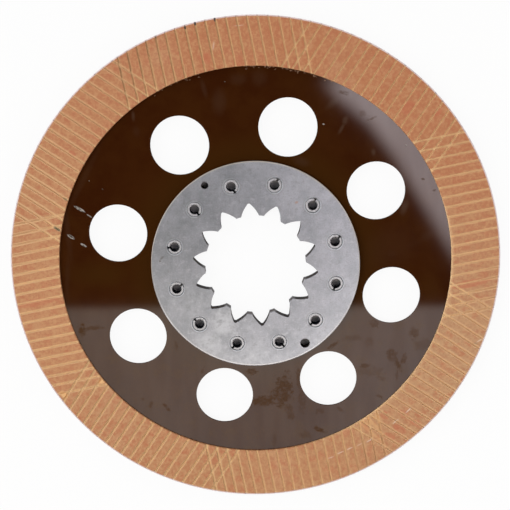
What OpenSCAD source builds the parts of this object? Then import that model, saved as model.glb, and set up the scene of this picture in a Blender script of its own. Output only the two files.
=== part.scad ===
// Friction disc of an oil-immersed brake: a steel core plate with a grooved lining bonded to each
// side, and a splined hub ring on each side, held to the plate by slotted spring pins.
// Millimetres. The bore axis is Z, and the middle of the core plate is at z = 0.

/* [Core plate] */
// Outside diameter of the core plate and of both linings
disc_d = 260; // [240:1:290]
// Thickness of the core plate
core_t = 1.5; // [1.2:0.1:3]
// Diameter of the round oil windows
window_d = 30.8; // [20:0.2:34]
// Gap between a window and the rims of the hub rings
window_gap = 3.9; // [2:0.1:13]
// Number of windows
window_count = 8; // [4:1:8]

/* [Linings] */
// Inside diameter of the linings
lining_id = 208.6; // [202:0.2:228]
// Thickness of each lining
lining_t = 1.2; // [0.8:0.1:2.5]
// Bevel on a lining's two working edges
lining_bevel = 0.3; // [0.1:0.05:0.5]
// Width of a groove
groove_w = 1; // [0.6:0.1:2]
// Depth of a groove
groove_depth = 0.55; // [0.3:0.05:0.7]
// Distance from one groove to the next
groove_pitch = 5.3; // [4.2:0.1:5.4]
// Grooves in one gang, which a row of cutters makes right across the ring
grooves_per_gang = 19; // [9:1:19]
// Direction of the first gang, from the X axis
groove_angle = -20.3; // [-45:0.1:45]
// How far each of the four gangs lies off the disc's centre, in groove pitches
gang_shift = [-0.12, -0.32, -0.11, -0.24]; // [-0.6:0.01:0.6]

/* [Hub rings] */
// Outside diameter of a hub ring
hub_d = 110.8; // [104:0.2:116]
// Thickness of a hub ring
hub_t = 2.5; // [1.5:0.05:4]
// Chamfer on a hub ring's outer rim
hub_chamfer = 0.4; // [0.1:0.05:1]

/* [Spline] */
// Number of teeth
teeth = 14; // [12:1:16]
// Diameter over the tooth tips, which is the clear bore
spline_minor_d = 53.8; // [51:0.1:56]
// Diameter at the roots of the spaces
spline_major_d = 66.6; // [62:0.1:66.8]
// Base circle of the curved flanks
spline_base_d = 47.5; // [46:0.1:49]
// Width of a tooth at its tip
tooth_tip_w = 2.6; // [2:0.1:3.4]

/* [Spring pins] */
// Number of pins
pin_count = 12; // [6:1:14]
// How far the pins' circle lies inside the middle of the steel between spline and rim
pin_inset = 0.45; // [0:0.05:3]
// Diameter of a pin's hole
pin_hole_d = 8; // [6:0.1:9]
// Bore of a pin
pin_bore_d = 5.1; // [3:0.1:5.5]
// Gap of a pin's slot
pin_slot_w = 1.1; // [0.5:0.1:2]
// Chamfer on a pin's ends
pin_chamfer = 0.45; // [0.1:0.05:0.6]
// Space left around a pin in its hole
pin_clearance = 0.02; // [0:0.01:0.1]
// How far a pin's ends lie below the hub faces
pin_recess = 0.15; // [0:0.05:0.5]
// Chamfer at the mouths of the pin holes
pin_mouth = 0.25; // [0.1:0.05:0.5]

/* [Locating holes] */
// From the circle that the two locating holes lie on, out to the rim of a hub ring
locating_edge = 5.1; // [4.4:0.1:6]
// Diameter of the small locating hole
locating_small_d = 3.8; // [2:0.1:5]
// Diameter of the large locating hole
locating_large_d = 5.2; // [4:0.1:6]

/* [Hidden] */
// Overlap of a cutting shape past the face that it cuts
eps = 0.5;
// The four cutter gangs stand at equal angles to each other
gangs = len(gang_shift);
// Points on one flank of a spline space
flank_steps = 5;
// Half the height over both linings and over both hub rings
lining_top = core_t / 2 + lining_t;
hub_top = core_t / 2 + hub_t;
// Diameters of the circles that the windows, the pins and the locating holes lie on
window_pcd = hub_d + 2 * window_gap + window_d;
pin_pcd = (spline_major_d + hub_d) / 2 - 2 * pin_inset;
locating_pcd = hub_d - 2 * locating_edge;
// Both spline spaces and locating holes are counted from the Y axis, windows from the X axis
top_angle = 90;
// The first pin is half a step past the X axis
pin_start = 180 / pin_count;
// Which way each pin's slot happened to face when the pin was driven, from the X axis
pin_slot_angles = [36, 28, -87, -83, 154, 9, 104, -166, -77, -170, -139, 16];

PINS = [for (i = [1:pin_count]) str("spring_pin_", i)];
$fn = 96;

// Angle in degrees that an involute flank has turned through, at pressure angle a
function involute(a) = tan(a) * 180 / PI - a;

// Pressure angle of the flank at radius r
function pressure(r) = acos(spline_base_d / 2 / r);

// Half the angle that a spline space spans at radius r
function half_space(r) =
    180 / teeth - asin(tooth_tip_w / spline_minor_d)
    + involute(pressure(spline_minor_d / 2)) - involute(pressure(r));

// Point i on a flank, from just inside the tooth tips to the root. side is 1 or -1
function flank_point(i, side) =
    let (
        inner = spline_minor_d / 2 - eps,
        r = inner + (spline_major_d / 2 - inner) * i / flank_steps,
        a = side * half_space(r)
    )
    [r * cos(a), r * sin(a)];

// One space between two teeth, on the X axis
module spline_space() {
    polygon(concat(
        [for (i = [0:flank_steps]) flank_point(i, -1)],
        [for (i = [flank_steps:-1:0]) flank_point(i, 1)]
    ));
}

// The bore with its spline, through the whole hub
module spline_bore() {
    translate([0, 0, -hub_top - eps])
        linear_extrude(2 * (hub_top + eps))
            union() {
                circle(d = spline_minor_d);
                for (i = [0:teeth - 1])
                    rotate(top_angle + i * 360 / teeth)
                        spline_space();
            }
}

// A straight round hole through the whole hub, at radius r and angle a
module through_hole(d, r, a) {
    rotate(a)
        translate([r, 0, 0])
            cylinder(h = 2 * (hub_top + eps), d = d, center = true);
}

// The small locating hole is on +Y and the large one is opposite
module locating_holes() {
    through_hole(locating_small_d, locating_pcd / 2, top_angle);
    through_hole(locating_large_d, locating_pcd / 2, top_angle + 180);
}

module pin_holes() {
    for (i = [0:pin_count - 1])
        through_hole(pin_hole_d, pin_pcd / 2, pin_start + i * 360 / pin_count);
}

// The chamfered mouths of the pin holes in the front face
module pin_mouths() {
    for (i = [0:pin_count - 1])
        rotate(pin_start + i * 360 / pin_count)
            translate([pin_pcd / 2, 0, hub_top - pin_mouth])
                cylinder(h = pin_mouth + eps, d1 = pin_hole_d, d2 = pin_hole_d + 2 * (pin_mouth + eps));
}

// Steel plate that carries the linings and the hub rings, with the spline cut through it
module core_plate() {
    color("#3a1e0b")
        difference() {
            cylinder(h = core_t, d = disc_d, center = true);
            for (i = [0:window_count - 1])
                through_hole(window_d, window_pcd / 2, i * 360 / window_count);
            pin_holes();
            locating_holes();
            spline_bore();
        }
}

// Section of a lining, with its two working edges bevelled
module lining_section() {
    inner = lining_id / 2;
    outer = disc_d / 2;
    polygon([
        [inner, core_t / 2],
        [outer, core_t / 2],
        [outer, lining_top - lining_bevel],
        [outer - lining_bevel, lining_top],
        [inner + lining_bevel, lining_top],
        [inner, lining_top - lining_bevel]
    ]);
}

// One gang of parallel grooves along X, cut where it crosses the ring on the +X side, and moved
// along Y by shift times the groove pitch
module groove_gang(shift) {
    first = (shift - (grooves_per_gang - 1) / 2) * groove_pitch;
    reach = max(abs(first), abs(first + (grooves_per_gang - 1) * groove_pitch)) + groove_w;
    start = sqrt(pow(lining_id / 2, 2) - pow(reach, 2)) - eps;
    for (i = [0:grooves_per_gang - 1])
        translate([start, first + i * groove_pitch - groove_w / 2, lining_top - groove_depth])
            cube([disc_d / 2 + eps - start, groove_w, groove_depth + eps]);
}

// Bonded friction ring. Each gang crosses the ring twice, so four gangs make eight groups
module lining_front() {
    color("#c08054")
        difference() {
            rotate_extrude($fn = 180)
                lining_section();
            for (g = [0:gangs - 1]) {
                turn = groove_angle + g * 180 / gangs;
                rotate(turn)
                    groove_gang(gang_shift[g]);
                rotate(turn + 180)
                    groove_gang(-gang_shift[g]);
            }
        }
}

module lining_rear() {
    rotate([180, 0, 0])
        lining_front();
}

// Section of a hub ring, with its outer rim chamfered
module hub_section() {
    inner = spline_minor_d / 2 - eps;
    outer = hub_d / 2;
    polygon([
        [inner, core_t / 2],
        [outer, core_t / 2],
        [outer, hub_top - hub_chamfer],
        [outer - hub_chamfer, hub_top],
        [inner, hub_top]
    ]);
}

// Splined ring that stiffens the hub on the front
module hub_ring_front() {
    color("#a3a2a6")
        difference() {
            rotate_extrude()
                hub_section();
            pin_holes();
            pin_mouths();
            locating_holes();
            spline_bore();
        }
}

module hub_ring_rear() {
    mirror([0, 0, 1])
        hub_ring_front();
}

// Section of a pin, with its ends chamfered
module pin_section() {
    half = hub_top - pin_recess;
    wall_out = pin_hole_d / 2 - pin_clearance;
    polygon([
        [pin_bore_d / 2, -half],
        [wall_out - pin_chamfer, -half],
        [wall_out, -half + pin_chamfer],
        [wall_out, half - pin_chamfer],
        [wall_out - pin_chamfer, half],
        [pin_bore_d / 2, half]
    ]);
}

// Rolled spring pin in place i, its slot turned by its own angle
module spring_pin(i) {
    place = pin_start + i * 360 / pin_count;
    slot = pin_slot_angles[i % len(pin_slot_angles)];
    color("#c4c4c6")
        rotate(place)
            translate([pin_pcd / 2, 0, 0])
                rotate(slot - place)
                    difference() {
                        rotate_extrude($fn = 48)
                            pin_section();
                        translate([0, -pin_slot_w / 2, -hub_top])
                            cube([pin_hole_d, pin_slot_w, 2 * hub_top]);
                    }
}

core_plate();
lining_front();
lining_rear();
hub_ring_front();
hub_ring_rear();
for (i = [0:pin_count - 1])
    spring_pin(i);
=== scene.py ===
# Looks of a wet brake friction disc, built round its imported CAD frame. Metres, in the CAD frame.
# Materials work in millimetres, turned about the bore so that their Y axis is up in the picture.
import math

import bpy
import numpy as np
from mathutils import Matrix, Vector


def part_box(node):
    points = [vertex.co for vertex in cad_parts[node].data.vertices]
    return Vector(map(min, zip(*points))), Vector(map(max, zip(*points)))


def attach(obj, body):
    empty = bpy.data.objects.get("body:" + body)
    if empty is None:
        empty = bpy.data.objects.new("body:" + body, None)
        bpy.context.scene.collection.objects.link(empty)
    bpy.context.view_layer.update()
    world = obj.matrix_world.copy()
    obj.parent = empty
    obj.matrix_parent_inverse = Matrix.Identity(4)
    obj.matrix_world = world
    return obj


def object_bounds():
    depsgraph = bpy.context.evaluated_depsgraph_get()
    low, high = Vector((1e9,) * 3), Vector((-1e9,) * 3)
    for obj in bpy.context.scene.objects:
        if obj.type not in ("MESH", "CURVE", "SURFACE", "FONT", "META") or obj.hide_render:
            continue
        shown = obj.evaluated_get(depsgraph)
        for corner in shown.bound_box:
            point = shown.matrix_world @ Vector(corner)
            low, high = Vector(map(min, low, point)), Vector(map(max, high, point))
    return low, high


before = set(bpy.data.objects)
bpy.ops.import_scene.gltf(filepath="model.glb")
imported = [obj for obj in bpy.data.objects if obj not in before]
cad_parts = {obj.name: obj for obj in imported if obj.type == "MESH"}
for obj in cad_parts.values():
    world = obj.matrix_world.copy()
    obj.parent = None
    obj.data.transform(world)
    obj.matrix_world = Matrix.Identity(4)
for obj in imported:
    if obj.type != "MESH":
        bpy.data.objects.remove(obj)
cad_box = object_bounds()

MM = 0.001

# The picture, and the camera that was solved from the disc's circles
PICTURE = 510
FOCAL_PIXELS = 1077.55
SENSOR = 36
CAMERA_DISTANCE = 572.7 * MM
CAMERA_TILT = math.radians(11.645)
CAMERA_ROLL = math.radians(0.351)
AIM = (-0.26 * MM, 5.38 * MM)
NEAREST, FARTHEST = 0.01, 20
# From the frame's X axis to the picture's
PICTURE_TURN = math.radians(31.648)

# The stage. White is the share of the floor's colour that no shadow reaches, and the shaded ring
# lies under the pins, in millimetres. The key light's place is in the picture's axes.
FLOOR_HALF = 3
FLOOR_WHITE = 0.93
SHADED_RING = (36, 57.5)
CARD_HEIGHT = 1.0
KEY_PLACE = (-2.2, 0.59, 2.1)
KEY_SIZE = 2.0
KEY_WATTS = 39
# The room is dark up to the first of these angles from straight up, and its walls are pale beyond
# the second. What mirrors the walls sees them darker.
ROOM_DARK, ROOM_PALE = math.radians(42), math.radians(72)
WALLS = (1.88, 1.88, 1.88)
WALLS_MIRRORED = (1.0, 1.0, 1.0)
BLACK = (0, 0, 0)

# Heights of the disc's faces, read from the frame
LINING_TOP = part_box("lining_front")[1].z / MM
HUB_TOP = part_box("hub_ring_front")[1].z / MM
PLATE_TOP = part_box("core_plate")[1].z / MM
# Sizes that the box of a node doesn't give. Those of edges and holes are radii.
LINING_INNER = 104.3
LINING_RIM = 130
HUB_RIM = 55.4
TOOTH_TIPS = 26.9
GROOVE_PITCH = 5.3
GROOVE_HALF = 0.5
GROOVE_ANGLE = -20.3
GANG_SHIFT = (-0.12, -0.32, -0.11, -0.24)
# From the middle of a gang to its last groove, in pitches
LAST_GROOVE = 9
# The gangs whose grooves have both corners painted lighter, as painted light over their shadow, and
# no painted shadow
LIGHT_CORNER_GANGS = (0, 3)
PIN_CIRCLE = 43.9
PIN_RECESS = 0.15
PIN_HOLE = 4.0
PIN_BORE = 2.55
# Which way the pins' slots face, in degrees from the frame's X axis
PIN_SLOTS = (36, 28, -87, -83, 154, 9, 104, -166, -77, -170, -139, 16)
PINS = [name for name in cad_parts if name.startswith("spring_pin")]
# Divides a height away, so that a blot is the same at every height
FLAT = 1e6

# Where the photograph shows wear. Each row is the place in the picture's axes, the half lengths
# of a blot in millimetres, the direction of the first of them in degrees, and the strength.
RED_LANDS = [
    (-117.3, -19.8, 11.5, 2.1, 11.35, 0.4), (114.6, -10.8, 10.5, 2.1, 11.35, 0.5),
    (79.5, 82.6, 4, 3, 40, 0.4), (94.6, 79.9, 2.6, 1.5, 35, 0.5), (-95.2, 59.8, 2.0, 1.4, -34, 0.5),
    (-24.5, 108.1, 2.2, 3.0, 0, 0.45), (-8.1, 107.0, 1.8, 3.0, 0, 0.3),
    (70.5, -82.7, 1.2, 0.6, -20, 0.7), (78.6, -92.4, 4.2, 1.8, -33, 0.4),
    (87.3, -89.0, 4.0, 1.8, -33, 0.4), (69.8, -84.9, 2.6, 1.6, -33, 0.35),
    (73.2, -96.4, 3.4, 1.6, -33, 0.35), (60.6, -91.2, 1.8, 2.6, 10, 0.35),
    (48.6, -94.0, 1.8, 2.8, 12, 0.3), (80.1, -83.3, 3.6, 1.8, -33, 0.3),
]
INK = [
    (-35.2, 123.7, 0.9, 0.5, 100, 0.9), (-30.1, 125.6, 0.9, 0.5, 100, 0.95),
    (-20.1, 127.7, 1.1, 0.5, 97, 0.9), (-50.1, 119.0, 0.8, 0.4, 100, 0.5),
]
OIL = [
    (-99.6, 35.7, 1.6, 0.5, -34, 0.5), (-104.7, 20.0, 2.0, 0.7, -34, 0.8),
    (118.4, -44.0, 1.2, 0.5, 0, 0.3),
]
SCRAPES = [
    (120.5, -42.3, 2.0, 0.3, 30, 0.5), (40.7, -108.6, 1.6, 0.3, 20, 0.5),
    (46.1, -105.7, 1.8, 0.3, 23, 0.6), (51.1, -103.4, 1.8, 0.3, 26, 0.6),
    (56.6, -101.1, 1.6, 0.25, 29, 0.4), (62.0, -98.8, 1.8, 0.3, 31, 0.6),
    (76.1, -87.9, 2.0, 0.3, 40, 0.6), (82.9, -81.7, 2.0, 0.35, 45, 0.6),
    (-7.9, 124.5, 2.4, 0.25, 5, 0.4), (-20.8, 114.6, 0.4, 2.0, -8, 0.4),
]
TORN = [
    (-83.4, -63.7, 2.6, 1.4, 25, 1.0), (-104.8, -71.5, 2.4, 1.3, -50, 1.0),
    (63.3, -94.6, 11.0, 0.8, -42, 0.35), (65.6, -91.0, 7.6, 0.8, -51, 0.45),
    (66.3, -86.2, 4.1, 0.7, -70, 0.5), (60.5, -87.9, 3.4, 1.8, -25, 0.3),
    (66.0, -85.5, 3.0, 1.5, -25, 0.3), (-57.0, -87.5, 1.4, 0.9, -30, 0.7),
]
SMUDGES = [
    (-93.8, -35.0, 2.0, 2.9, 0, 1.0), (-88.2, -34.4, 5.2, 1.1, 3, 0.7),
    (-43.4, -44.3, 0.9, 2.2, 10, 0.6), (-29.2, -59.0, 0.8, 2.2, -20, 0.5),
    (-2.7, -59.6, 2.6, 1.7, 0, 0.7), (-57.5, -77.8, 1.2, 1.8, -20, 0.5),
    (-48.8, -79.7, 3.2, 0.8, -48, 0.7), (-61.8, -74.7, 0.9, 1.0, 0, 0.4),
    (41.7, -44.8, 3.4, 1.0, 40, 0.7), (52.1, -41.1, 5.0, 1.6, 0, 0.3),
    (61.1, -43.0, 2.5, 2.5, 0, 0.3), (63.5, -33.0, 2.6, 1.9, -20, 0.5),
    (85.1, -38.0, 2.1, 3.2, 0, 0.6), (90.0, -44.7, 5.0, 3.0, 20, 0.3),
    (73.2, -50.2, 2.4, 3.4, 10, 0.6), (76.5, -55.5, 1.2, 4.4, 25, 0.7),
    (80.0, -53.0, 1.2, 3.2, -15, 0.6), (76.6, -61.9, 0.8, 3.0, 0, 0.4),
    (59.2, -56.5, 2.8, 1.3, 5, 0.6), (62.1, -59.6, 7.0, 2.4, 0, 0.25),
    (68.0, -63.7, 2.6, 1.2, -10, 0.35), (67.1, -74.0, 1.8, 0.8, -25, 0.6),
    (45.6, -81.1, 2.4, 0.8, -35, 0.5), (35.1, -82.2, 2.4, 1.5, 0, 0.4),
    (34.4, -92.6, 3.0, 1.4, -25, 0.9), (27.4, -96.0, 3.4, 2.2, -20, 0.35),
    (14.3, -70.6, 4.6, 8.0, -12, 0.8), (4.4, -76.2, 8.0, 2.6, 6, 0.85),
    (17.9, -82.1, 2.0, 5.0, 20, 0.55), (23.0, -62.3, 1.0, 5.0, 0, 0.6),
    (9.8, -98.9, 1.2, 4.0, 0, 0.3), (25.0, -75.0, 2.0, 7.0, 0, 0.4),
    (46.0, 90.3, 2.4, 1.0, -15, 0.7), (60.9, 77.0, 2.2, 0.6, 25, 0.6),
    (55.9, 79.7, 1.5, 1.2, 0, 0.4), (88.2, 45.2, 0.7, 0.6, 0, 0.8), (94.2, 39.3, 0.7, 0.6, 0, 0.8),
]
HAZES = [
    (40.3, 85.0, 3.5, 1.6, 40, 0.5), (47.0, 76.0, 2.2, 1.2, 70, 0.7),
    (45.2, 72.0, 3.0, 0.8, 60, 0.7), (61.9, 59.5, 1.0, 1.6, 0, 0.8),
    (78.6, 30.5, 1.6, 3.6, -15, 0.75), (90.5, 14.7, 3.0, 2.0, 30, 0.2),
    (80.0, 9.0, 10.0, 2.4, 25, 0.12), (72.5, 5.5, 3.5, 2.4, 0, 0.2),
    (-18.3, 86.0, 3.2, 5.5, 0, 0.25), (-26.1, 92.8, 1.2, 4.0, 15, 0.25),
    (-63.0, 79.1, 0.8, 2.2, 5, 0.6), (-61.5, 71.0, 1.6, 2.4, 10, 0.15),
    (2.5, 98.0, 3.5, 3.5, 0, 0.2), (-8.5, 97.5, 4.0, 2.5, 0, 0.2), (24.3, 54.8, 4.0, 2.0, -20, 0.3),
    (72.0, 9.0, 13.0, 10.0, 30, 0.12), (-99.5, 20.0, 1.4, 16.0, 5, 0.18),
    (-90.0, 46.0, 1.4, 18.0, -28, 0.15), (-100.5, -8.0, 1.2, 14.0, -4, 0.15),
]
OLIVE = [
    (-82.0, -5.0, 15.0, 6.0, 0, 1.0), (92.0, -14.0, 6.0, 8.0, 0, 0.4),
]
CHIPS = [
    (-92.6, 30.4, 3.2, 0.75, -31, 1.0), (-87.6, 26.7, 1.5, 0.35, -34, 0.7),
    (-97.7, 15.5, 2.1, 0.78, -33, 0.9), (-91.2, 11.0, 1.8, 0.64, -30, 0.9),
    (-87.0, 45.3, 0.3, 0.22, -20, 0.7), (-80.1, 40.8, 0.5, 0.2, -45, 0.9),
    (-15.3, 96.2, 0.45, 0.25, 0, 0.6), (35.7, 74.2, 0.6, 0.35, -10, 0.9),
    (78.9, 62.9, 0.4, 0.35, 0, 0.9),
]
HUB_CLOUDS = [
    (0.0, -51.0, 15.0, 4.0, 0, 0.45), (27.0, 45.0, 9.0, 6.0, -30, 0.3),
    (2.0, 51.0, 10.0, 4.0, 0, 0.25), (-17.0, -31.0, 6.5, 6.5, 20, 0.9),
    (-24.5, -42.5, 6.5, 5.5, -30, 0.65), (-4.0, -34.0, 4.0, 2.5, 0, 0.3),
    (-33.0, -20.0, 9.0, 9.0, 0, 0.3), (-2.0, -46.5, 7.0, 5.0, 0, 0.35),
    (23.5, -37.5, 2.5, 3.5, 0, 0.3), (36.0, -38.0, 3.0, 9.0, -45, 0.25),
]
HUB_SMEARS = [
    (-49.6, 4.3, 1.2, 0.5, 40, 0.6), (-50.6, 2.6, 0.5, 0.6, 0, 0.7),
    (-46.3, -3.0, 0.5, 0.7, 0, 0.25),
]
RUST = [
    (21.7, 33.6, 0.9, 0.6, 20, 0.5),
]

# Shreds of the lining on the lacquer: rows as above, without the strength, for those whose places
# are known. Chance strews the others along two stretches, each given by its start and its reach in
# degrees of the picture, and out to an edge in millimetres. So many of them lie in the first.
FRAYS = [
    (30.8, 98.9, 0.75, 0.5, -20), (18.7, 101.8, 0.6, 0.4, 10), (25.9, 100.6, 0.5, 0.3, -30),
]
STREWN = 70
STREWN_SEED = 5
FIRST_STRETCH, FIRST_COUNT = (67, 27), 54
SECOND_STRETCH = (106, 14)
STREWN_EDGE = 104.2
FLAKE_CORNERS = 7

# Linear colours of each material
PAPER = {
    "right": (0.50, 0.298, 0.160),
    "left": (0.512, 0.247, 0.119),
    "top right": (0.470, 0.188, 0.086),
    "bottom": (0.460, 0.220, 0.103),
    "pale cloud": (0.52, 0.275, 0.150),
    "red patch": (0.475, 0.168, 0.082),
    "light fibre": (0.61, 0.350, 0.180),
    "dark fibre": (0.43, 0.150, 0.078),
    "shoulder": (0.69, 0.45, 0.24),
    "red land": (0.50, 0.14, 0.075),
    "dark cut": (0.74, 0.485, 0.245),
    "light cut": (0.85, 0.59, 0.32),
    "cut painted paler at the sides": (0.92, 0.65, 0.36),
    "soft cut": (0.60, 0.36, 0.19),
    "corner painted light": (0.80, 0.52, 0.29),
    "painted groove shadow": (0.27, 0.17, 0.07),
    "torn": (0.75, 0.44, 0.20),
    "inner wall shade": (0.34, 0.155, 0.07),
    "rim": (0.68, 0.56, 0.55),
    "ink": (0.05, 0.055, 0.065),
    "oil": (0.17, 0.155, 0.10),
    "scrape": (0.80, 0.64, 0.52),
    "dark shred": (0.11, 0.055, 0.030),
    "light shred": (0.34, 0.20, 0.12),
}
LACQUER = {
    "dark": (0.036, 0.0088, 0.0019),
    "light": (0.044, 0.0128, 0.0027),
    "olive": (0.046, 0.0165, 0.0030),
    "haze": (0.068, 0.036, 0.022),
    "stain": (0.066, 0.030, 0.010),
    "smudge": (0.060, 0.0240, 0.0060),
    "chip's shade": (0.06, 0.05, 0.04),
    "bare steel": (0.38, 0.35, 0.32),
}
HUB = {
    "dark inside": (0.35, 0.383, 0.430),
    "light inside": (0.445, 0.478, 0.535),
    "dark outside": (0.43, 0.470, 0.525),
    "light outside": (0.545, 0.583, 0.650),
    "light mottle": (0.62, 0.655, 0.71),
    "dark mottle": (0.30, 0.325, 0.36),
    "wheel mark": (0.60, 0.62, 0.66),
    "dark speck": (0.34, 0.35, 0.37),
    "light speck": (0.60, 0.61, 0.66),
    "cloud": (0.60, 0.645, 0.70),
    "smear": (0.22, 0.21, 0.20),
    "rust": (0.55, 0.30, 0.16),
    "gap": (0.06, 0.06, 0.065),
    "pin's mouth": (0.75, 0.78, 0.82),
    "lower rim highlight": (0.85, 0.87, 0.90),
    "upper rim highlight": (0.62, 0.58, 0.53),
    "scale": (0.03, 0.03, 0.033),
    "rubbed tooth": (0.26, 0.26, 0.27),
    "scale at the right": (0.11, 0.11, 0.115),
}
PIN = {
    "dark": (0.54, 0.565, 0.60),
    "light": (0.66, 0.68, 0.71),
    "chamfer": (0.97, 0.98, 1.0),
    "bore's edge": (0.25, 0.26, 0.28),
    "scale": (0.070, 0.078, 0.100),
}
# What both steels share: bare metal whose mirror is held back at a grazing angle
BARE_METAL = {"Metallic": 1.0, "Specular_Tint": (0.5, 0.5, 0.5, 1)}


def from_picture(x, y, z):
    """A point given with X right and Y up in the picture, turned into the frame's axes."""
    return Matrix.Rotation(-PICTURE_TURN, 3, "Z") @ Vector((x, y, z))


def from_axis(x, y):
    """The distance of a point from the axis that its x and y are measured from."""
    return (x * x + y * y) ** 0.5


class Wire:
    """A shader socket that can stand in a sum: each operator adds one Math node."""

    def __init__(self, finish, socket):
        self.finish = finish
        self.socket = socket

    def __add__(self, other):
        return self.finish.math("ADD", self, other)

    def __sub__(self, other):
        return self.finish.math("SUBTRACT", self, other)

    def __rsub__(self, other):
        return self.finish.math("SUBTRACT", other, self)

    def __mul__(self, other):
        return self.finish.math("MULTIPLY", self, other)

    def __truediv__(self, other):
        return self.finish.math("DIVIDE", self, other)

    def __pow__(self, other):
        return self.finish.math("POWER", self, other)

    def __abs__(self):
        return self.finish.math("ABSOLUTE", self)

    def most(self, other):
        """The larger of two values."""
        return self.finish.math("MAXIMUM", self, other)

    __radd__ = __add__
    __rmul__ = __mul__


class Finish:
    """A node tree. Numbers, colours and Wires go into its sockets alike."""

    def __init__(self, tree):
        self.tree = tree
        self.tree.nodes.clear()

    def node(self, kind, settings=None, sockets=None, output=0):
        """Adds a node: its settings first, then its sockets by name or number."""
        made = self.tree.nodes.new(kind)
        for name, value in (settings or {}).items():
            setattr(made, name, value)
        for name, value in (sockets or {}).items():
            if isinstance(value, Wire):
                self.tree.links.new(value.socket, made.inputs[name])
            else:
                made.inputs[name].default_value = value
        return Wire(self, made.outputs[output]) if made.outputs else None

    def math(self, operation, *values):
        """One Math node."""
        return self.node("ShaderNodeMath", {"operation": operation}, dict(enumerate(values)))

    def place(self):
        """Object coordinates in millimetres, turned so that Y is up in the picture."""
        return self.node("ShaderNodeMapping", None, {
            "Vector": self.node("ShaderNodeTexCoord", output="Object"),
            "Rotation": (0, 0, PICTURE_TURN),
            "Scale": (1 / MM, 1 / MM, 1 / MM),
        })

    def split(self, vector):
        """The three parts of a vector."""
        parts = self.node("ShaderNodeSeparateXYZ", None, {0: vector})
        return [Wire(self, socket) for socket in parts.socket.node.outputs]

    def ray_is(self, kind):
        """1 for rays of one kind, such as Camera or Glossy."""
        path = self.node("ShaderNodeLightPath")
        return Wire(self, path.socket.node.outputs[f"Is {kind} Ray"])

    def noise(self, vector, size, detail=3, roughness=0.5, stretch=(1, 1, 1), turn=0):
        """Noise from 0 to 1 round 0.5, with grains about size long, stretched along turned axes."""
        if stretch != (1, 1, 1) or turn:
            vector = self.node("ShaderNodeMapping", {"vector_type": "TEXTURE"}, {
                "Vector": vector,
                "Rotation": (0, 0, math.radians(turn)),
                "Scale": stretch,
            })
        return self.node("ShaderNodeTexNoise", None, {
            "Vector": vector,
            "Scale": 1 / size,
            "Detail": detail,
            "Roughness": roughness,
        })

    def rise(self, value, low, high):
        """0 below low and 1 above high, smooth between. With low above high it falls instead."""
        return self.node("ShaderNodeMapRange", {"interpolation_type": "SMOOTHSTEP"}, {
            "Value": value,
            "From Min": low,
            "From Max": high,
        })

    def front(self, z):
        """1 on the front half of the disc and 0 on the back."""
        return self.rise(z, -0.1, 0.1)

    def blend(self, factor, first, second):
        """A colour that goes from first to second as factor goes from 0 to 1."""
        first, second = (
            colour if isinstance(colour, Wire) else (*colour, 1) for colour in (first, second)
        )
        return self.node("ShaderNodeMix", {"data_type": "RGBA"}, {
            "Factor": factor, 6: first, 7: second
        }, output=2)

    def paint(self, colour, *coats):
        """Lays coats over a colour in turn. Each is a mask and the colour where the mask is 1."""
        for mask, coat in coats:
            colour = self.blend(mask, colour, coat)
        return colour

    def bump(self, height, depth):
        """A normal for relief that is depth millimetres from a height of 0 to a height of 1."""
        return self.node("ShaderNodeBump", None, {"Height": height, "Distance": depth * MM})

    def blot(self, place, at, half, turn, edge, wobble):
        """1 in an ellipse round the point at, 0 outside it, whatever the height. half gives its
        half lengths along and across the direction turn, and edge how softly it ends, as a share
        of them. wobble, 0 in the mean, roughens the edge."""
        near = self.node("ShaderNodeMapping", {"vector_type": "TEXTURE"}, {
            "Vector": place,
            "Location": (*at, 0),
            "Rotation": (0, 0, math.radians(turn)),
            "Scale": (*half, FLAT),
        })
        length = self.node("ShaderNodeVectorMath", {"operation": "LENGTH"}, {0: near}, output=1)
        return self.rise(length + wobble, 1 + edge, 1 - edge)

    def blots(self, place, rows, wobble=0, edge=0.4):
        """The strongest of several blots at each point. Each row is x, y, two half lengths, turn
        and strength."""
        total = 0
        for x, y, along, across, turn, strength in rows:
            one = self.blot(place, (x, y), (along, across), turn, edge, wobble) * strength
            total = one.most(total)
        return total

    def surface(self, **sockets):
        """A Principled BSDF joined to the material's output."""
        names = {name.replace("_", " "): value for name, value in sockets.items()}
        self.output(self.node("ShaderNodeBsdfPrincipled", None, names))

    def output(self, shader, kind="Material"):
        """The node that a material or a world ends in."""
        self.node(f"ShaderNodeOutput{kind}", None, {"Surface": shader})


def new_finish(name):
    """An empty material and the Finish that fills it."""
    material = bpy.data.materials.new(name)
    material.use_nodes = True
    return material, Finish(material.node_tree)


def beside_grooves(f, wider):
    """Three masks, from how far each point lies off the nearest line of each gang: the grooves'
    frayed shoulders, wider by so many millimetres and set a little to one side as a painted lit
    edge, then the corner that a groove's wall shades, for painted shadow, then both corners of the
    grooves in the gangs that are painted lighter there instead, as painted light over their shadow.
    The painted shadow falls on one side of a groove, and in those gangs on neither. The back has
    the same pattern, turned over about the X axis."""
    x, y, z = f.split(f.node("ShaderNodeTexCoord", output="Object"))
    y = y * f.math("SIGN", z)
    shoulders, corners = 0, [0, 0]
    for gang, shift in enumerate(GANG_SHIFT):
        turn = math.radians(GROOVE_ANGLE + 180 * gang / len(GANG_SHIFT))
        lines = (y * math.cos(turn) - x * math.sin(turn)) / (GROOVE_PITCH * MM) - shift
        off = (f.math("FLOORED_MODULO", lines + 0.5, 1) - 0.5) * GROOVE_PITCH
        within = f.rise(abs(lines), LAST_GROOVE + 0.3, LAST_GROOVE + 0.2)
        shoulders = (f.rise(abs(off + 0.15) - wider, 0.95, 0.6) * within).most(shoulders)
        painted_light_corners = gang in LIGHT_CORNER_GANGS
        from_corner = abs((abs(off) if painted_light_corners else off) - GROOVE_HALF)
        corners[painted_light_corners] = (f.rise(from_corner, 0.28, 0.1) * within).most(corners[painted_light_corners])
    return shoulders, *corners


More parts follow.
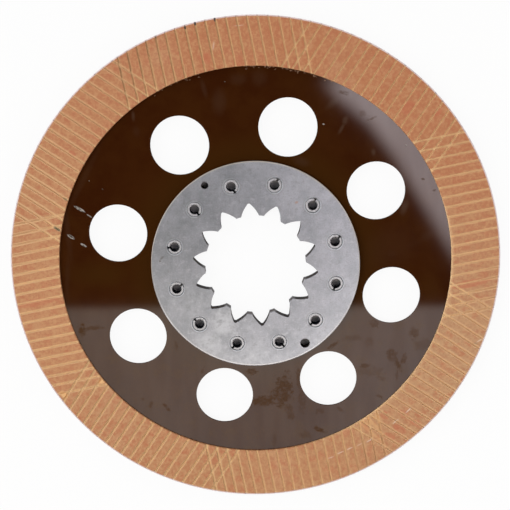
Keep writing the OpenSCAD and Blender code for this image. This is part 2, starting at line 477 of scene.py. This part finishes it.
def friction_lining():
    """Pressed paper and resin: rust-brown lands, and paler tan where a cutter or knife laid it
    open."""
    material, f = new_finish("friction_lining")
    place = f.place()
    x, y, z = f.split(place)
    radius = from_axis(x, y)
    depth = LINING_TOP - abs(z)
    front = f.front(z)
    fibre = f.noise(place, 1.3, detail=4, roughness=0.75)
    patch = f.noise(place, 4.5, roughness=0.6)
    cloud = f.noise(place, 30, detail=2)
    ragged = (f.noise(place, 1.8, roughness=0.6) - 0.5) * 2.2

    # The last gang's grooves, at the upper left and the lower right, are wider and softer
    low_right = f.rise(x - y, 120, 150)
    turn = PICTURE_TURN + math.radians(GROOVE_ANGLE + 180 * 3 / len(GANG_SHIFT))
    soft = f.rise(abs(x * math.cos(turn) + y * math.sin(turn)), 98, 112)
    shoulders, painted_groove_shadow, painted_light_corners = beside_grooves(f, soft * 0.2)
    left = f.rise(x + 0.5 * y, -35, -90)
    frayed = 0.12 + 0.13 * f.rise(y, 60, 20) + 0.45 * left + 0.2 * f.rise(x, 80, 110)
    # Painted shadow of the grooves' walls, kept to the left and the upper left
    painted_groove_shadow = painted_groove_shadow * left.most(f.rise(y - x, 112, 140))

    # The paper is painted paler at the right, painted light where less of the key light falls, and
    # is redder towards the top right
    land = f.paint(
        f.blend(f.rise(x, 120, -120), PAPER["right"], PAPER["left"]),
        (f.rise(y + 0.4 * x, -20, 120), PAPER["top right"]),
        (f.rise(y, -30, -130) * 0.8, PAPER["bottom"]),
        (f.rise(cloud, 0.5, 0.75) * 0.5, PAPER["pale cloud"]),
        (f.rise(patch, 0.48, 0.66) * 0.6, PAPER["red patch"]),
        (f.rise(fibre, 0.47, 0.62) * 0.55, PAPER["light fibre"]),
        (f.rise(fibre, 0.51, 0.36) * 0.6, PAPER["dark fibre"]),
        # Frayed shoulders beside the grooves, partly a painted lit edge on the side away from the
        # light
        (shoulders * frayed, PAPER["shoulder"]),
        (f.blots(place, RED_LANDS, ragged * 0.15, 0.15) * front, PAPER["red land"]),
    )
    cut = f.paint(
        f.blend(f.rise(fibre, 0.3, 0.7), PAPER["dark cut"], PAPER["light cut"]),
        # Painted light: the cut is paler at the right and the left, where light runs along the
        # grooves
        (f.rise(abs(y), 75, 30) * 0.5, PAPER["cut painted paler at the sides"]),
        (soft * 0.75, PAPER["soft cut"]),
    )

    # The knife that trimmed the ring left a pale strip along its inner edge at the right. Elsewhere
    # the wall of that edge is painted dark, a painted shade along the lining's foot.
    strip = LINING_INNER - 1.5 + 2.5 * f.rise(x, 92, 104).most(low_right) + ragged
    opened = f.rise(depth, 0.28, 0.45).most(f.rise(radius - strip, 0.9, -0.9) * 0.4)
    wall = f.rise(radius, LINING_INNER + 0.3, LINING_INNER + 0.1)
    wall = wall * f.rise(x, 102, 88) * (1 - low_right)
    colour = f.paint(
        f.blend(opened, land, cut),
        # Painted light over the shadow in the corners of the soft grooves
        (painted_light_corners * soft * 0.5, PAPER["corner painted light"]),
        # Painted shadow in the corner that each groove's wall shades
        (painted_groove_shadow * 0.35, PAPER["painted groove shadow"]),
        (f.blots(place, TORN, ragged * 0.3) * front, PAPER["torn"]),
        (wall, PAPER["inner wall shade"]),
        # The outer edge is painted pale, a painted highlight
        (f.rise(radius, LINING_RIM - 0.9, LINING_RIM - 0.4), PAPER["rim"]),
        (f.blots(place, INK, ragged * 0.3) * front, PAPER["ink"]),
        (f.blots(place, OIL, ragged * 0.3) * front, PAPER["oil"]),
        (f.blots(place, SCRAPES, ragged * 0.3) * front, PAPER["scrape"]),
    )

    f.surface(
        Base_Color=colour,
        Roughness=0.9,
        Specular_IOR_Level=0.25,
        Normal=f.bump(fibre, 0.04),
    )
    return material


def lacquered_steel():
    """Dark brown stoving lacquer with a clear gloss, dulled where hands and oil touched it."""
    material, f = new_finish("lacquered_steel")
    place = f.place()
    x, y, z = f.split(place)
    front = f.front(z)
    cloud = f.noise(place, 22, detail=5, roughness=0.6)
    grain = f.noise(place, 1.1)
    ragged = (f.noise(place, 2.0, detail=5, roughness=0.7) - 0.5) * 3.4

    olive = f.rise(from_axis(x, y) + 14 * (cloud - 0.5), 76, 58)
    olive = olive.most(f.blots(place, OLIVE, ragged * 0.2, 0.8) * front)
    haze = f.blots(place, HAZES, ragged * 0.25, 0.7) * front
    smudge = f.blots(place, SMUDGES, ragged, 0.35) * front
    smudge = smudge * f.rise(f.noise(place, 1.5, detail=4, roughness=0.7), 0.30, 0.52)
    chip = f.blots(place, CHIPS, ragged * 0.12, 0.2) * front
    streak = f.noise(place, 0.7, detail=2, stretch=(3, 1, 1), turn=-31)

    # Faint stains and a handled place, both below the middle, and long wiped strokes all over
    stain = f.rise(f.noise(place, 9, detail=4, roughness=0.6), 0.5, 0.7) * f.rise(y, -22, -34)
    wiped = f.rise(f.noise(place, 9, stretch=(1, 5, 1)), 0.4, 0.62)
    handled = f.rise(y, -52, -72) * f.rise(abs(x - 8), 50, 22)

    colour = f.paint(
        f.blend(f.rise(cloud, 0.35, 0.65), LACQUER["dark"], LACQUER["light"]),
        (olive * 0.8, LACQUER["olive"]),
        (haze, LACQUER["haze"]),
        (stain * 0.5, LACQUER["stain"]),
        (smudge, LACQUER["smudge"]),
        (chip, f.blend(f.rise(streak, 0.40, 0.60), LACQUER["chip's shade"], LACQUER["bare steel"])),
    )

    # Each of these takes away a share of the gloss. The walls of the holes have none.
    gloss = (1.03 - 0.1 * wiped) * (1 - f.rise(PLATE_TOP - abs(z), 0.05, 0.25))
    for mask, share in ((smudge, 0.8), (chip, 0.8), (stain, 0.12), (handled, 0.14)):
        gloss = gloss * (1 - share * mask)

    f.surface(
        Base_Color=colour,
        Roughness=0.6,
        Specular_IOR_Level=0.0,
        Coat_Weight=gloss,
        Coat_Roughness=0.05,
        Normal=f.bump(grain, 0.0022),
    )
    return material


def from_nearest_pin(f, place):
    """The distance from the axis of the nearest pin, from the angle folded into one pin's share."""
    x, y, _ = f.split(place)
    radius = from_axis(x, y)
    share = 2 * math.pi / len(PINS)
    angle = f.math("FLOORED_MODULO", f.math("ARCTAN2", y, x) - PICTURE_TURN, share) - share / 2
    sideways = radius * f.math("SINE", angle)
    outward = radius * f.math("COSINE", angle) - PIN_CIRCLE
    return from_axis(outward, sideways)


def slot_ends():
    """Rows for the torn outer end of each pin's slot, which faces the pin's own way."""
    rows = []
    for i, slot in enumerate(PIN_SLOTS):
        pin = PICTURE_TURN + (i + 0.5) * 2 * math.pi / len(PINS)
        way = PICTURE_TURN + math.radians(slot)
        x = PIN_CIRCLE * math.cos(pin) + PIN_HOLE * math.cos(way)
        y = PIN_CIRCLE * math.sin(pin) + PIN_HOLE * math.sin(way)
        rows.append((x, y, 0.55, 1.15, math.degrees(way), 1.0))
    return rows


def ground_steel():
    """Bare ground steel, cloudy, with faint marks of the wheel. The spline's walls stay as black
    as the broach and the oil left them."""
    material, f = new_finish("ground_steel")
    place = f.place()
    x, y, z = f.split(place)
    radius = from_axis(x, y)
    depth = HUB_TOP - abs(z)
    front = f.front(z)
    from_pin = from_nearest_pin(f, place)
    cloud = f.noise(place, 11, detail=4, roughness=0.6)
    mottle = f.noise(place, 3.5, detail=5, roughness=0.7)
    speck = f.noise(place, 0.8)
    streak = f.noise(place, 0.9, detail=2, stretch=(1, 7, 1))
    ragged = (f.noise(place, 5) - 0.5) * 1.8

    # The rings are painted brighter towards their rims, and most at the top and the right as a
    # painted reflection
    cloudy = f.rise(cloud, 0.33, 0.67)
    inside = f.blend(cloudy, HUB["dark inside"], HUB["light inside"])
    outside = f.blend(cloudy, HUB["dark outside"], HUB["light outside"])
    clouds = f.blots(place, HUB_CLOUDS, ragged * 1.3, 0.7) * f.rise(mottle, 0.3, 0.55)
    colour = f.paint(
        f.blend(f.rise(radius + 0.3 * (x + y), 30, 66), inside, outside),
        (f.rise(mottle, 0.52, 0.70) * 0.6, HUB["light mottle"]),
        (f.rise(mottle, 0.47, 0.30) * 0.45, HUB["dark mottle"]),
        (f.rise(streak, 0.45, 0.75) * 0.15, HUB["wheel mark"]),
        (f.rise(speck, 0.5, 0.3) * 0.4, HUB["dark speck"]),
        (f.rise(speck, 0.52, 0.7) * 0.3, HUB["light speck"]),
        (clouds * front, HUB["cloud"]),
        (f.blots(place, HUB_SMEARS, ragged * 0.5) * front, HUB["smear"]),
        (f.blots(place, RUST) * front, HUB["rust"]),
    )

    # Round each pin a faint ring, the torn end of its slot and the bright chamfer of its hole. The
    # rim's chamfer has a painted highlight below the middle, and a dimmer painted beige one above
    # it.
    ring = f.rise(abs(from_pin - (PIN_HOLE + 1)), 0.3, 0.05) * 0.12
    notch = f.blots(place, slot_ends(), 0, 0.3) * front
    low = f.rise(y, 0, -35)
    colour = f.paint(
        colour,
        (ring.most(notch * 0.8), HUB["gap"]),
        (f.rise(from_pin, PIN_HOLE + 0.5, PIN_HOLE + 0.3) * 0.5, HUB["pin's mouth"]),
        (f.rise(radius, HUB_RIM - 1.0, HUB_RIM - 0.6) * low * 0.8, HUB["lower rim highlight"]),
        (f.rise(radius, HUB_RIM - 0.6, HUB_RIM - 0.3) * (1 - low), HUB["upper rim highlight"]),
    )

    # The scale on the walls is rubbed off at the tooth tips, and catches light at the right
    wall = f.rise(depth, 0.1, 0.4) * f.rise(radius, HUB_RIM - 1.4, HUB_RIM - 2.4)
    rubbed = f.rise(radius, TOOTH_TIPS + 1.7, TOOTH_TIPS + 0.7) * f.rise(depth, 0.5, 1.2)
    scale = f.blend(rubbed, HUB["scale"], HUB["rubbed tooth"])
    scale = f.blend(f.rise(x, 15, 35) * 0.5, scale, HUB["scale at the right"])
    f.surface(
        Base_Color=f.blend(wall, colour, scale),
        Roughness=(0.32 + 0.08 * cloud).most(wall * 0.6),
        Normal=f.bump(speck, 0.003),
        **BARE_METAL,
    )
    return material


def pin_steel():
    """Drawn spring steel: ground ends, painted brighter for the light that their rounded edges
    catch, with a painted highlight on the chamfer, and a bore that kept its black scale.
    """
    material, f = new_finish("pin_steel")
    place = f.place()
    _, _, z = f.split(place)
    depth = HUB_TOP - PIN_RECESS - abs(z)
    from_pin = from_nearest_pin(f, place)
    speck = f.noise(place, 0.9)
    # The chamfer is painted near white, a painted highlight
    chamfer = f.rise(from_pin, PIN_HOLE - 0.55, PIN_HOLE - 0.4) * f.rise(depth, 0.5, 0.4)
    inside = f.rise(depth, 0.05, 0.4) * f.rise(from_pin, PIN_HOLE - 0.3, PIN_HOLE - 0.5)
    notch = f.blots(place, slot_ends(), 0, 0.3)
    colour = f.paint(
        f.blend(speck, PIN["dark"], PIN["light"]),
        (chamfer, PIN["chamfer"]),
        (f.rise(from_pin, PIN_BORE + 0.3, PIN_BORE) * 0.4, PIN["bore's edge"]),
        (inside.most(notch * 0.8), PIN["scale"]),
    )
    f.surface(
        Base_Color=colour,
        Roughness=0.42 + 0.1 * speck,
        Normal=f.bump(speck, 0.003),
        **BARE_METAL,
    )
    return material


def put(material, *names):
    """Gives CAD nodes their material."""
    for name in names:
        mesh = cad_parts[name].data
        mesh.materials.clear()
        mesh.materials.append(material)


def new_piece(name, points, faces, material):
    """A piece of its own, from its points in metres and its faces."""
    mesh = bpy.data.meshes.new(name)
    mesh.from_pydata(points.tolist(), [], faces)
    mesh.materials.append(material)
    piece = bpy.data.objects.new(name, mesh)
    bpy.context.scene.collection.objects.link(piece)
    return piece


def lining_frays():
    """Dirty shreds of the lining that stuck to the lacquer along its inner edge at the top. Each is
    a low flake: seven points round an ellipse of half lengths 0.2 to 0.7 and 0.1 to 0.26 mm, their
    distance from its middle swinging by a quarter three times a turn, with a copy of that outline
    at 0.7 of its size 0.12 to 0.22 mm above it. They lie up to 1.5 mm in from the edge, crowded
    towards it by the cube of chance."""
    chance = np.random.default_rng(STREWN_SEED)
    rows = list(FRAYS)
    for k, (toward, inward, length, width, lean) in enumerate(chance.random((STREWN, 5))):
        start, reach = FIRST_STRETCH if k < FIRST_COUNT else SECOND_STRETCH
        angle = math.radians(start + reach * toward)
        radius = STREWN_EDGE - 1.5 * inward ** 3
        rows.append((
            radius * math.cos(angle), radius * math.sin(angle),
            0.2 + 0.5 * length, 0.1 + 0.16 * width, math.degrees(angle) + 60 + 60 * lean,
        ))
    n = FLAKE_CORNERS
    turns = np.arange(n) * 2 * math.pi / n
    points, faces = [], []
    for k, (x, y, along, across, turn) in enumerate(rows):
        swing = 1 + 0.25 * np.sin(3 * turns + k)
        u, v = along * swing * np.cos(turns), across * swing * np.sin(turns)
        c, s = math.cos(math.radians(turn)), math.sin(math.radians(turn))
        height = 0.12 + 0.1 * abs(math.sin(1.7 * k))
        for size, z in ((1, PLATE_TOP), (0.7, PLATE_TOP + height)):
            outline = [x + size * (c * u - s * v), y + size * (s * u + c * v), np.full(n, z)]
            points.append(np.stack(outline, axis=1))
        low, high = 2 * n * k, 2 * n * k + n
        faces.append(tuple(range(low + n - 1, low - 1, -1)))
        faces.append(tuple(range(high, high + n)))
        faces += [
            (low + i, low + (i + 1) % n, high + (i + 1) % n, high + i) for i in range(n)
        ]
    turned = np.array(Matrix.Rotation(-PICTURE_TURN, 3, "Z"))
    points = np.concatenate(points) @ turned.T * MM
    material, f = new_finish("lining_shreds")
    tone = f.rise(f.noise(f.place(), 2.5), 0.35, 0.65)
    f.surface(
        Base_Color=f.blend(tone, PAPER["dark shred"], PAPER["light shred"]),
        Roughness=0.9,
    )
    piece = new_piece("lining_frays", points, faces, material)
    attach(piece, "root")


def plane(name, centre, along, across, material):
    """A flat stage piece: centre plus or minus the vectors along and across, facing their cross
    product."""
    signs = np.array([(-1, -1), (1, -1), (1, 1), (-1, 1)])
    corners = np.array(centre) + signs @ np.array([along, across])
    piece = new_piece(name, corners, [(0, 1, 2, 3)], material)
    return piece


def floor_paper():
    """White paper. What looks at it directly sees it white, with a trace of the disc's shadow,
    but under the hub it is plain, so that the pins' bores look as dark as they are."""
    material, f = new_finish("floor_paper")
    seen = f.ray_is("Camera").most(f.ray_is("Glossy")).most(f.ray_is("Transmission"))
    x, y, _ = f.split(f.place())
    radius = from_axis(x, y)
    inner, outer = SHADED_RING
    under_hub = f.rise(radius, inner - 1, inner + 1) * f.rise(radius, outer + 0.5, outer - 0.5)
    paper = f.node("ShaderNodeBsdfDiffuse", None, {"Color": (0.85, 0.85, 0.85, 1)})
    white = f.node("ShaderNodeEmission", None, {"Color": (1, 1, 1, 1), "Strength": 1.0})
    share = seen * (1 - under_hub) * FLOOR_WHITE
    f.output(f.node("ShaderNodeMixShader", None, {0: share, 1: paper, 2: white}))
    return material


def glow(name, first, second, start, end, half_across, low_slant, high_slant, fade):
    """A light card's emission: black before start on its own X axis and full after end, and from
    the colour first to the colour second across it. Past the place that a slant names first, the
    edge comes forward at the slope that it names second. The high side fades out over the length
    fade."""
    material, f = new_finish(name)
    x, y, _ = f.split(f.node("ShaderNodeTexCoord", output="Object"))
    colour = f.blend(f.rise(y, -half_across, half_across), first, second)
    low = f.math("MINIMUM", y - low_slant[0], 0)
    high = (y - high_slant[0]).most(0)
    reach = x - low_slant[1] * low + high_slant[1] * high
    bright = f.rise(reach, start, end) * f.rise(y, half_across, half_across - fade)
    colour = f.blend(bright, BLACK, colour)
    f.output(f.node("ShaderNodeEmission", None, {"Color": colour, "Strength": 1.0}))
    return material


def card(
    name, turn, near, edge, far, low, high, ramp, first, second,
    low_slant=(0, 0), high_slant=(0, 0), fade=0.001,
):
    """A level light card, CARD_HEIGHT over the bore. It runs from near to far metres out from the
    axis in the picture's direction turn, and from low to high across that, to the left of it. It is
    black up to edge and grows bright over the length ramp, and goes from the colour first to second
    from low to high. Both slants and the fade are as in glow."""
    angle = math.radians(turn)
    half_along, half_across = (far - near) / 2, (high - low) / 2
    start = edge - near - half_along
    light = glow(
        name + "_light", first, second, start, start + ramp, half_across,
        low_slant, high_slant, fade,
    )
    piece = plane(name, (0, 0, 0), (half_along, 0, 0), (0, -half_across, 0), light)
    along, across = (near + far) / 2, (low + high) / 2
    piece.location = from_picture(
        along * math.cos(angle) - across * math.sin(angle),
        along * math.sin(angle) + across * math.cos(angle),
        CARD_HEIGHT,
    )
    piece.rotation_euler = (0, 0, angle - PICTURE_TURN)


def studio():
    """Floor, pale walls, two cards overhead that the lacquer mirrors, and a key light at the
    left."""
    plane("floor", (0, 0, cad_box[0].z), (FLOOR_HALF, 0, 0), (0, FLOOR_HALF, 0), floor_paper())

    # The mirror image of the first card begins below the middle of the picture, with a level edge
    card(
        "card_below", turn=-90, near=0.25, edge=0.264, far=0.74, low=-0.5, high=0.5, ramp=0.013,
        first=(1.62, 1.42, 1.20), second=(2.16, 1.96, 1.88),
    )
    # The second shows in the upper right of the plate, past a slanting edge
    card(
        "card_right", turn=38.2, near=0.09, edge=0.1165, far=0.23, low=-0.37, high=0.002,
        ramp=0.031, first=(4.4, 3.85, 3.9), second=(5.7, 5.0, 5.1),
        low_slant=(0.02, 0.12), high_slant=(0.08, 0.20), fade=0.05,
    )

    key = bpy.data.lights.new("key", "AREA")
    key.shape = "SQUARE"
    key.size = KEY_SIZE
    key.energy = KEY_WATTS
    lamp = bpy.data.objects.new("key", key)
    bpy.context.scene.collection.objects.link(lamp)
    lamp.location = from_picture(*KEY_PLACE)
    lamp.rotation_euler = (-lamp.location).to_track_quat("-Z", "Y").to_euler()

    world = bpy.data.worlds.new("room")
    world.use_nodes = True
    f = Finish(world.node_tree)
    _, _, z = f.split(f.node("ShaderNodeTexCoord", output="Generated"))
    sides = f.rise(z, math.cos(ROOM_DARK), math.cos(ROOM_PALE))
    walls = f.blend(f.ray_is("Glossy"), WALLS, WALLS_MIRRORED)
    colour = f.blend(sides, BLACK, walls)
    f.output(f.node("ShaderNodeBackground", None, {"Color": colour, "Strength": 1.0}), "World")
    bpy.context.scene.world = world


def camera():
    """The camera stands at a tilt above the lining's face, aims just above the bore and rolls a
    little."""
    face = Vector((0, 0, LINING_TOP * MM))
    place = Vector((0, math.sin(CAMERA_TILT), math.cos(CAMERA_TILT))) * CAMERA_DISTANCE
    back = (place - Vector((*AIM, 0))).normalized()
    right = Vector((0, 1, 0)).cross(back).normalized()
    up = back.cross(right)
    c, s = math.cos(CAMERA_ROLL), math.sin(CAMERA_ROLL)
    axes = [right * c - up * s, right * s + up * c, back]
    turned = Matrix([from_picture(*axis) for axis in axes]).transposed()
    data = bpy.data.cameras.new("camera")
    data.sensor_width = SENSOR
    data.lens = FOCAL_PIXELS * SENSOR / PICTURE
    data.clip_start, data.clip_end = NEAREST, FARTHEST
    eye = bpy.data.objects.new("camera", data)
    eye.matrix_world = Matrix.Translation(from_picture(*place) + face) @ turned.to_4x4()
    bpy.context.scene.collection.objects.link(eye)
    bpy.context.scene.camera = eye


put(friction_lining(), "lining_front", "lining_rear")
lining_frays()
put(lacquered_steel(), "core_plate")
put(ground_steel(), "hub_ring_front", "hub_ring_rear")
put(pin_steel(), *PINS)
camera()
studio()
bpy.context.scene.view_settings.view_transform = "Standard"
